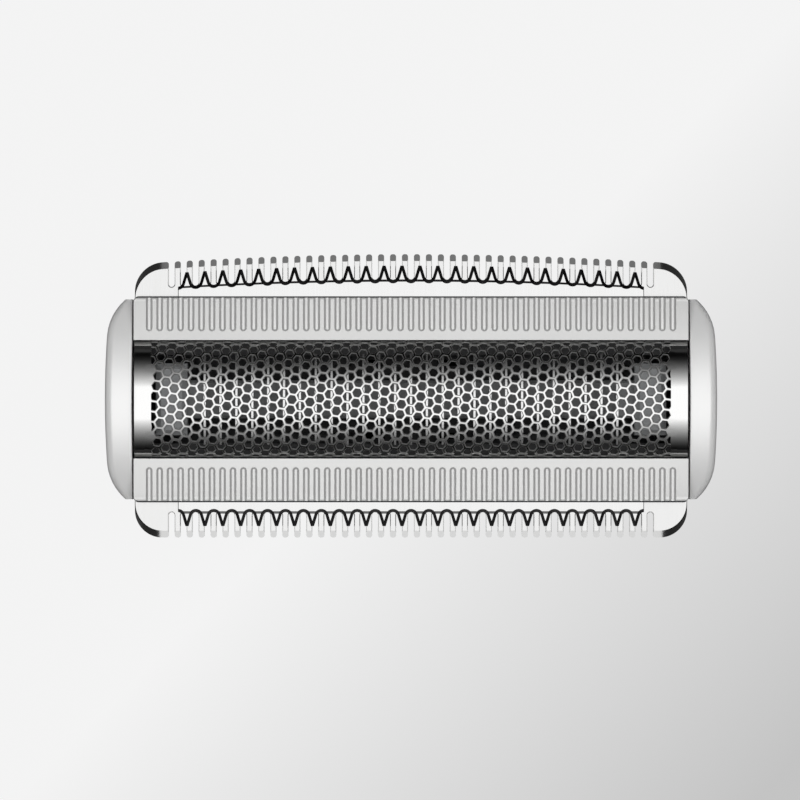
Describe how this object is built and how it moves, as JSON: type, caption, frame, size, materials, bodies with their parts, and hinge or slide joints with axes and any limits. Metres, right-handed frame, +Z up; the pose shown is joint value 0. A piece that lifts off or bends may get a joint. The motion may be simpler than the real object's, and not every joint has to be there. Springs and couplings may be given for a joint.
{
  "type": "shaver head",
  "caption": "Foil shaver head: floating mesh foil over a lamella cutter, between ribbed skin bars, with a toothed trimmer along each side and a cover at each end.",
  "frame": {"origin": "middle of the base rim that sits on the shaver's neck, under the middle of the foil", "axes": "+X along the foil, +Y across it towards the crowned rear trimmer, +Z up out of the foil towards the skin"},
  "size_m": [0.058, 0.0269, 0.026],
  "materials": {
    "frame_plastic": "moulded, fine satin",
    "cover_plastic": "moulded, smooth satin",
    "foil_nickel": "electroformed, polished",
    "foil_frame_plastic": "moulded, satin",
    "comb_steel": "ground and polished",
    "blade_steel": "ground, bevelled edges",
    "lamella_steel": "ground edges",
    "carrier_plastic": "moulded, satin",
    "bridge_plastic": "moulded, smooth",
    "spring_steel": "rolled strip"
  },
  "bodies": {
    "housing": {"head_frame": "frame_plastic", "left_end_cover": "cover_plastic", "right_end_cover": "cover_plastic", "front_skin_bar": "cover_plastic", "rear_skin_bar": "cover_plastic", "front_comb": "comb_steel", "rear_comb": "comb_steel", "front_blade_spring": "spring_steel", "rear_blade_spring": "spring_steel", "left_foil_spring": "spring_steel", "right_foil_spring": "spring_steel"},
    "foil_cassette": {"foil": "foil_nickel", "foil_frame": "foil_frame_plastic"},
    "drive": {"drive_bridge": "bridge_plastic", "front_trimmer_blade": "blade_steel", "rear_trimmer_blade": "blade_steel", "cutter_spring": "spring_steel"},
    "cutter": {"cutter_carrier": "carrier_plastic", "cutter_lamella_01": "lamella_steel", "cutter_lamella_02": "lamella_steel", "cutter_lamella_03": "lamella_steel", "cutter_lamella_04": "lamella_steel", "cutter_lamella_05": "lamella_steel", "cutter_lamella_06": "lamella_steel", "cutter_lamella_07": "lamella_steel", "cutter_lamella_08": "lamella_steel", "cutter_lamella_09": "lamella_steel", "cutter_lamella_10": "lamella_steel", "cutter_lamella_11": "lamella_steel", "cutter_lamella_12": "lamella_steel", "cutter_lamella_13": "lamella_steel", "cutter_lamella_14": "lamella_steel", "cutter_lamella_15": "lamella_steel", "cutter_lamella_16": "lamella_steel", "cutter_lamella_17": "lamella_steel", "cutter_lamella_18": "lamella_steel", "cutter_lamella_19": "lamella_steel", "cutter_lamella_20": "lamella_steel", "cutter_lamella_21": "lamella_steel", "cutter_lamella_22": "lamella_steel", "cutter_lamella_23": "lamella_steel", "cutter_lamella_24": "lamella_steel", "cutter_lamella_25": "lamella_steel", "cutter_lamella_26": "lamella_steel", "cutter_lamella_27": "lamella_steel"}
  },
  "joints": [
    {"name": "foil_float", "type": "slide", "parent": "housing", "child": "foil_cassette", "axis": [0, 0, 1], "range_m": [-0.0012, 0], "stiffness_N_per_m": 800, "springref_m": 0.001, "deforming": ["left_foil_spring", "right_foil_spring"]},
    {"name": "drive_slide", "type": "slide", "parent": "housing", "child": "drive", "axis": [1, 0, 0], "range_m": [-0.0007, 0.0007]},
    {"name": "cutter_float", "type": "slide", "parent": "drive", "child": "cutter", "axis": [0, 0, 1], "range_m": [-0.0012, 0], "stiffness_N_per_m": 500, "springref_m": 0.001, "deforming": ["cutter_spring"]}
  ],
  "couplings": [
    {"joint": "cutter_float", "follows": "foil_float", "ratio": 1}
  ]
}
